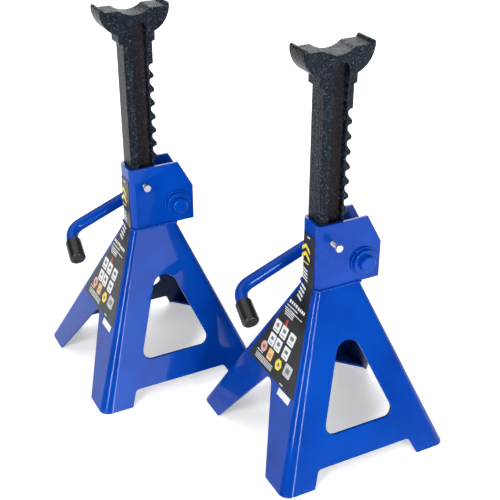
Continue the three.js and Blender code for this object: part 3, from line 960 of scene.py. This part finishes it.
def facePoint(y, z, lift):
    front = head["front"] if z > base["height"] else baseLevel("front", z)
    return (front - label["skin"] - lift, y, z)


def inkShape(corners, layer=0):
    lift = label["lift"] + layer * label["ink"]
    piece = outlineOf("ink", [facePoint(y, z, lift) for y, z in corners])
    return extruded(piece, (-label["ink"], 0, 0))


def inkPiece(shapes, layer):
    pieces = [inkShape(shape, layer) for shape in shapes]
    onlySelect(pieces[0])
    if len(pieces) > 1:
        for piece in pieces[1:]:
            piece.select_set(True)
        bpy.ops.object.join()
    return pieces[0]


def block(y, z, width, height, corner=0.0):  # width across the label, centre at (y, z)
    w, h = width / 2, height / 2
    corners = [(y - w, z - h), (y + w, z - h), (y + w, z + h), (y - w, z + h)]
    return rounded([(*point, corner) for point in corners], 3)


def slanted(y, z, width, height, rise):
    w, h, lean = width / 2, height / 2, rise / 2
    return [(y - w, z - h - lean), (y + w, z - h + lean), (y + w, z + h + lean), (y - w, z + h - lean)]


tiles = [(33.5, 214), (9.5, 214), (-18, 214), (33.5, 189), (11, 189), (-18, 189)]
whiteShapes = [block(y, z, 20, 21, 2) for y, z in tiles]
whiteShapes += [block(2, 398.5, 9, 2.4)]
whiteShapes += [slanted(10.5 - i * 0.2, 333.5 - i * 6.5, 16, 3.1, 4.0) for i in range(4)]
whiteShapes += [slanted(9.5 - i * 0.2, 299 - i * 6.5, 16.5, 3.1, 4.0) for i in range(4)]
whiteShapes += [block(27 - i * 7.2, 264.5, 5.6 - i % 3 * 0.8, 5.0, 0.6) for i in range(4)]
whiteShapes += [block(-2.5 - i * 6.2, 263.5, 5.0 - i % 2 * 0.9, 5.0, 0.6) for i in range(4)]
whiteShapes += [block(14, 256.5, 36, 1.6)]
whiteShapes += [block(18 - i, 251 - i * 3.2, 34 - 2 * i, 1.4) for i in range(4)]
whiteShapes += [block(-8, 250.5, 34, 1.2), block(53, 157.5, 20, 1.6)]
whiteShapes += [block(32, 152.5 - i * 2.7, 60, 1.1) for i in range(4)]
whiteShapes += [block(-39, 142, 11, 1.6)]
yellowShapes = [
    [(-3.5, z), (9.5, z + 10), (22.5, z), (22.5, z + 7.5), (9.5, z + 17.5), (-3.5, z + 7.5)]
    for z in (352, 367)
] + [
    block(9.5, 347, 20, 2.4),
    ring(-10.5, 164, 10.5, 6),
]
darkShapes = [block(y, z + 2, 8 + i % 3 * 1.5, 7 - i % 2, 2) for i, (y, z) in enumerate(tiles)]
darkShapes += [block(y, z - 6.5, 12, 1.4) for y, z in tiles]
darkShapes += [block(47, 169, 8, 7, 2), block(21.5, 166, 9, 1.6), block(21.5, 162.5, 9, 1.6)]
darkShapes += [block(-41, 168, 12, 9, 2), ring(-10.5, 164, 3.6, 12)]
printing = {
    "white": whiteShapes, "yellow": yellowShapes, "red": [[(8, 225), (17, 225), (15, 236), (11, 236)]],
    "pink": [ring(47, 169, 9.5, 24)], "orange": [block(21.5, 166, 17, 19, 1.5)],
    "grey": [block(-41, 168, 24, 21, 3)], "dark": darkShapes,
}
for tone, shapes in printing.items():
    marks = tone == "dark"  # printed over the other inks
    piece = inkPiece(shapes, 1 if marks else 0)
    for stand, copy in standCopies(piece, "print_" + tone + ("_mark" if marks else ""), inks[tone]):
        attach(copy, stand + "_frame")
print("label printed")

# floor, light and camera

studio = {
    "floor": color(252, 252, 252), "floorWorn": color(246, 247, 249), "floorSize": 80, "floorZ": -0.0003,
    "floorGlow": 0.45, "world": 0.15, "horizon": 0.7, "horizonTop": 0.05, "horizonBlend": 0.08,
    "ceiling": 1.0, "ceilingTurn": (-12, -8, 0), "ceilingAngle": 60, "exposure": 0.0,
    "lights": [
        # name, place, looks at, width, height, watts, tint
        ("keyLeft", (-2.3, -1.4, 1.8), (0, 0, 0.3), 0.3, 1.4, 54, (1, 1, 1)),
        ("nearStrip", (0.32, -3.0, 0.75), (0, 0, 0.3), 0.2, 1.5, 38, (1, 1, 1)),
        ("nearRight", (0.7, -3.0, 1.3), (0, 0, 0.3), 1.0, 1.6, 16, (1, 0.97, 1)),
        ("back", (1.2, 2.4, 1.8), (0, 0, 0.3), 1.6, 1.0, 26, (1, 1, 1)),
    ],
}
deselectAll()
bpy.ops.mesh.primitive_plane_add(size=studio["floorSize"], location=(0, 0, studio["floorZ"]))
floor = bpy.context.object
floor.name = "floor"
floorFinish = Finish("pale_floor")
floorTone = floorFinish.mix(floorFinish.noise(3, 2).over(0.5, 0.6), studio["floor"], studio["floorWorn"])
floor.data.materials.append(floorFinish.finish(  # slightly lit from within, which keeps shadows faint
    Base_Color=floorTone, Roughness=0.9, Specular_IOR_Level=0, Emission_Color=(1, 1, 1, 1),
    Emission_Strength=studio["floorGlow"],
))

for name, spot, target, width, height, watts, tint in studio["lights"]:
    deselectAll()
    bpy.ops.object.light_add(type="AREA", location=spot)
    lamp = bpy.context.object
    lamp.name = name
    lamp.data.shape = "RECTANGLE"
    lamp.data.size, lamp.data.size_y = width, height
    lamp.data.energy = watts
    lamp.data.color = tint
    lamp.rotation_euler = (Vector(target) - Vector(spot)).to_track_quat("-Z", "Y").to_euler()

deselectAll()
ceilingTurn = [math.radians(angle) for angle in studio["ceilingTurn"]]
bpy.ops.object.light_add(type="SUN", location=(0, 0, 3), rotation=ceilingTurn)
bpy.context.object.name = "ceiling"
bpy.context.object.data.energy = studio["ceiling"]
bpy.context.object.data.angle = math.radians(studio["ceilingAngle"])

sky = bpy.data.worlds.new("studio")
room = NodeTree(sky)  # bright at the horizon and dimmer above
direction = room.node("ShaderNodeTexCoord", {}, {}, "Generated")
level = room.node("ShaderNodeSeparateXYZ", {}, {"Vector": direction}, "Z")
above = level.over(studio["horizonTop"], studio["horizonBlend"])
horizon, world = [(tone, tone, tone, 1) for tone in (studio["horizon"], studio["world"])]
shade = room.mix(above, horizon, world)
backdrop = room.tree.nodes["Background"]
room.tree.links.new(shade.socket, backdrop.inputs["Color"])
bpy.context.scene.world = sky
bpy.context.scene.view_settings.view_transform = "Standard"
bpy.context.scene.view_settings.exposure = studio["exposure"]

view = {
    "place": (-0.6958, -1.4383, 1.1752), "azimuth": 27.104, "elevation": 28.608,
    "lens": 70.35, "sensor": 36,
}
turn = (math.radians(90 - view["elevation"]), 0, math.radians(-view["azimuth"]))
bpy.ops.object.camera_add(location=view["place"], rotation=turn)
camera = bpy.context.object
camera.data.lens = view["lens"]
camera.data.sensor_width = view["sensor"]
bpy.context.scene.camera = camera
print("studio set")
